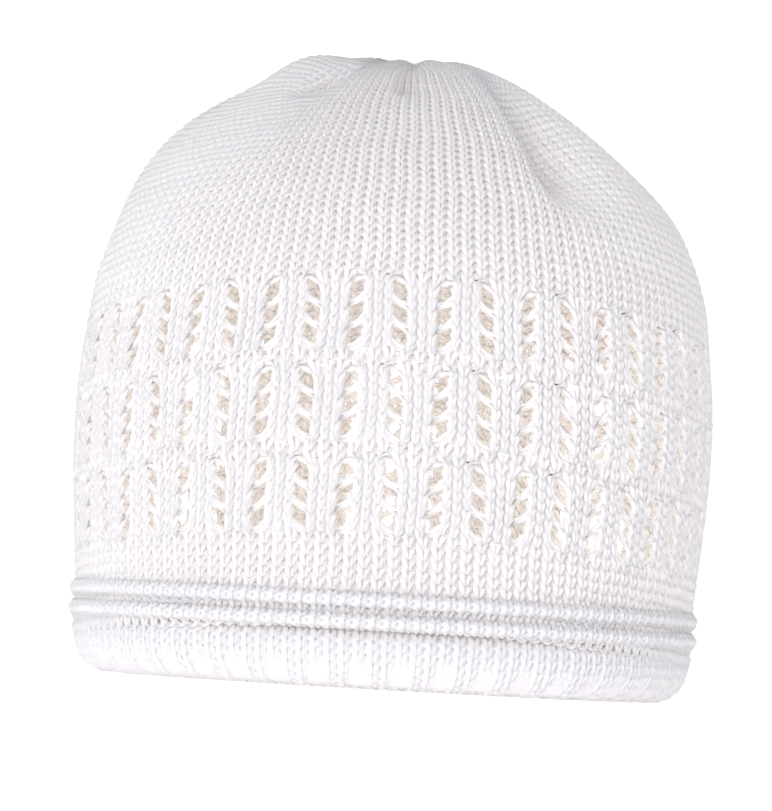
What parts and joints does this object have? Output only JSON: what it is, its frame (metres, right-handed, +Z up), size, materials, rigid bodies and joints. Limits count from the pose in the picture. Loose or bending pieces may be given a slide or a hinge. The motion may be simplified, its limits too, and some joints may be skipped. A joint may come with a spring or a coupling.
{
  "type": "nightcap",
  "caption": "Knitted cotton nightcap with a gathered crown, an openwork lace band, two rolled welts and a turned-in brim that it stands on.",
  "frame": {"origin": "middle of the opening, on the plane that the hem rests on", "axes": "+Z up through the gathered crown, -Y towards the front, +X towards the wearer's left side"},
  "size_m": [0.172, 0.182, 0.1692],
  "materials": {
    "body_knit": "white cotton yarn in stocking stitch and lace, matt with a soft fuzz",
    "welt_knit": "white cotton yarn in rolled welts, matt",
    "brim_knit": "white cotton yarn, doubled and turned in, matt"
  },
  "bodies": {
    "root": {"knit_body": "body_knit", "upper_welt": "welt_knit", "lower_welt": "welt_knit", "brim": "brim_knit"}
  },
  "joints": []
}
